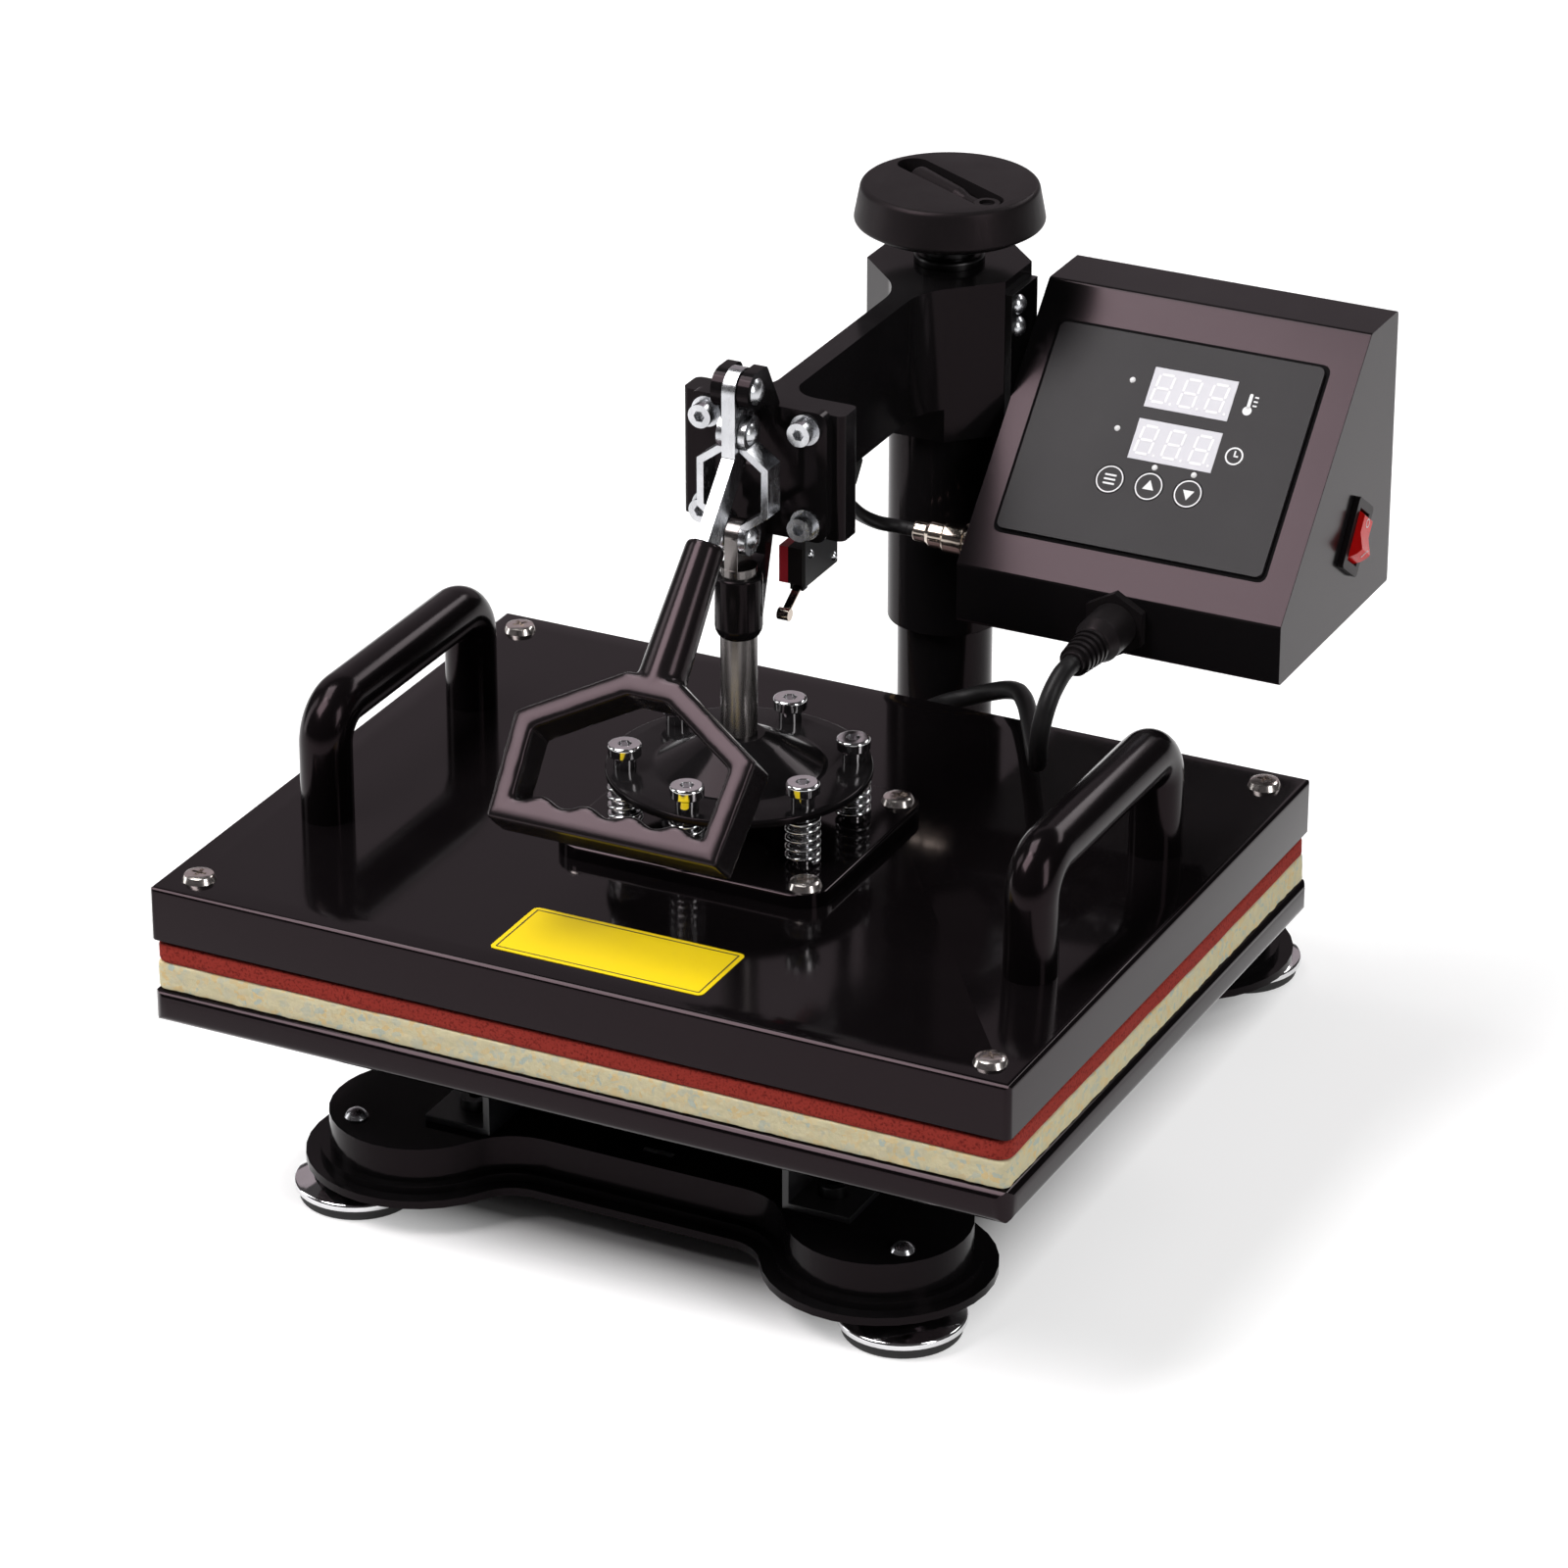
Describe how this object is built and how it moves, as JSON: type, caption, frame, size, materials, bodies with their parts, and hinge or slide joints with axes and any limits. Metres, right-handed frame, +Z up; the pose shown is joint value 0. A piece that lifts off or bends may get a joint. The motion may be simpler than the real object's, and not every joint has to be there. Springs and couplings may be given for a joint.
{
  "type": "swing-away heat press",
  "caption": "Bench heat press: heated platen on a toggle lever, hung from an arm that swings on a rear post over a padded lower board, with a control box and a height knob.",
  "frame": {"origin": "middle of the footprint, on the floor under the feet", "axes": "+Z up, +Y to the rear (the post's side), +X to the control box's side"},
  "size_m": [0.382, 0.4219, 0.3628],
  "materials": {
    "gloss_black": "gloss black enamel",
    "satin_black": "satin black powder coat",
    "dark_steel": "black-oxide steel",
    "zinc": "bright zinc plate",
    "chrome": "polished chrome plate",
    "rubber": "matte black rubber",
    "grip_plastic": "black moulded plastic",
    "foam": "cream chip foam",
    "silicone": "brick-red silicone",
    "aluminium": "plain cast aluminium",
    "insulation": "mineral wool",
    "bronze": "sintered bronze",
    "board": "green circuit board",
    "panel": "dark printed overlay",
    "window": "grey display window",
    "lamp": "clear lamp",
    "red_plastic": "red plastic"
  },
  "bodies": {
    "stand": {"base_pressing": "gloss_black", "foot_cups": "chrome", "foot_pads": "rubber", "foot_bolts": "dark_steel", "post": "gloss_black", "base_bolts": "dark_steel", "board_supports": "satin_black", "lower_board": "gloss_black", "foam_mat": "foam", "silicone_mat": "silicone"},
    "swivel": {"thrust_washer": "zinc"},
    "knob": {"pressure_screw": "dark_steel", "height_knob": "grip_plastic", "crank_pin": "zinc"},
    "crank": {"crank_grip": "grip_plastic"},
    "arm": {"swing_arm": "gloss_black", "sleeve": "gloss_black", "sleeve_bushes": "bronze", "screw_nut": "dark_steel", "toggle_frame": "gloss_black", "toggle_screws": "zinc", "lever_pin": "zinc", "switch_bracket": "satin_black", "switch_body": "red_plastic", "box_shell": "gloss_black", "box_back": "gloss_black", "box_bracket": "zinc", "box_screws": "zinc", "control_board": "board", "display_panel": "panel", "display_windows": "window", "indicator_lamps": "lamp", "rocker_bezel": "grip_plastic", "switch_plug": "zinc", "heater_plug": "grip_plastic", "mains_gland": "grip_plastic", "switch_lead": "rubber", "lead_grommet": "rubber"},
    "switch_arm": {"switch_lever": "zinc"},
    "set_button": {"set_key": "panel"},
    "up_button": {"up_key": "panel"},
    "down_button": {"down_key": "panel"},
    "rocker_switch": {"rocker": "red_plastic"},
    "lever": {"lever_bar": "zinc", "lever_handle": "grip_plastic"},
    "links": {"toggle_links": "zinc", "link_pins": "zinc"},
    "platen": {"platen_cover": "gloss_black", "heat_plate": "aluminium", "insulation": "insulation", "flange_plate": "gloss_black", "platen_screws": "chrome", "side_handles": "gloss_black", "shoulder_bolts": "chrome", "springs": "zinc", "lead_gland": "rubber", "heater_lead": "rubber"},
    "plunger": {"plunger_rod": "zinc", "float_disc": "gloss_black"}
  },
  "joints": [
    {"name": "swing", "type": "hinge", "parent": "stand", "child": "swivel", "pos_m": [0, 0.137, 0.2822], "axis": [0, 0, 1], "range_deg": [-110, 110]},
    {"name": "arm_height", "type": "slide", "parent": "swivel", "child": "arm", "axis": [0, 0, 1], "range_m": [0, 0.008]},
    {"name": "knob_turn", "type": "hinge", "parent": "swivel", "child": "knob", "pos_m": [0, 0.137, 0.35], "axis": [0, 0, -1], "range_deg": [0, 720]},
    {"name": "crank_fold", "type": "hinge", "parent": "knob", "child": "crank", "pos_m": [0.02274, 0.1244, 0.3577], "axis": [0.4848, 0.8746, 0], "range_deg": [0, 90]},
    {"name": "lever_swing", "type": "hinge", "parent": "arm", "child": "lever", "pos_m": [0, -0.06, 0.3422], "axis": [-1, 0, 0], "range_deg": [0, 110]},
    {"name": "link_swing", "type": "hinge", "parent": "lever", "child": "links", "pos_m": [0, -0.06, 0.3237], "axis": [-1, 0, 0], "range_deg": [-133, 0]},
    {"name": "platen_lift", "type": "slide", "parent": "arm", "child": "platen", "axis": [0, 0, 1], "range_m": [0, 0.0234], "deforming": ["heater_lead"]},
    {"name": "plunger_rise", "type": "slide", "parent": "platen", "child": "plunger", "axis": [0, 0, 1], "range_m": [0, 0.005], "deforming": ["springs"]},
    {"name": "switch_tip", "type": "hinge", "parent": "arm", "child": "switch_arm", "pos_m": [0.0135, -0.033, 0.2492], "axis": [-1, 0, 0], "range_deg": [0, 20], "stiffness_Nm_per_rad": 0.02},
    {"name": "set_press", "type": "slide", "parent": "arm", "child": "set_button", "axis": [0, 0.7313, -0.682], "range_m": [0, 0.0006], "stiffness_N_per_m": 300},
    {"name": "up_press", "type": "slide", "parent": "arm", "child": "up_button", "axis": [0, 0.7313, -0.682], "range_m": [0, 0.0006], "stiffness_N_per_m": 300},
    {"name": "down_press", "type": "slide", "parent": "arm", "child": "down_button", "axis": [0, 0.7313, -0.682], "range_m": [0, 0.0006], "stiffness_N_per_m": 300},
    {"name": "rocker_tip", "type": "hinge", "parent": "arm", "child": "rocker_switch", "pos_m": [0.179, 0.1495, 0.2317], "axis": [0, 0.8192, -0.5736], "range_deg": [0, 20]}
  ],
  "couplings": [
    {"joint": "knob_turn", "follows": "arm_height", "rad_per_m": 1570.8},
    {"joint": "link_swing", "follows": "lever_swing", "ratio": -1.209},
    {"joint": "platen_lift", "follows": "lever_swing", "m_per_rad": 0.012169},
    {"joint": "plunger_rise", "follows": "lever_swing", "m_per_rad": 0.0026044}
  ]
}
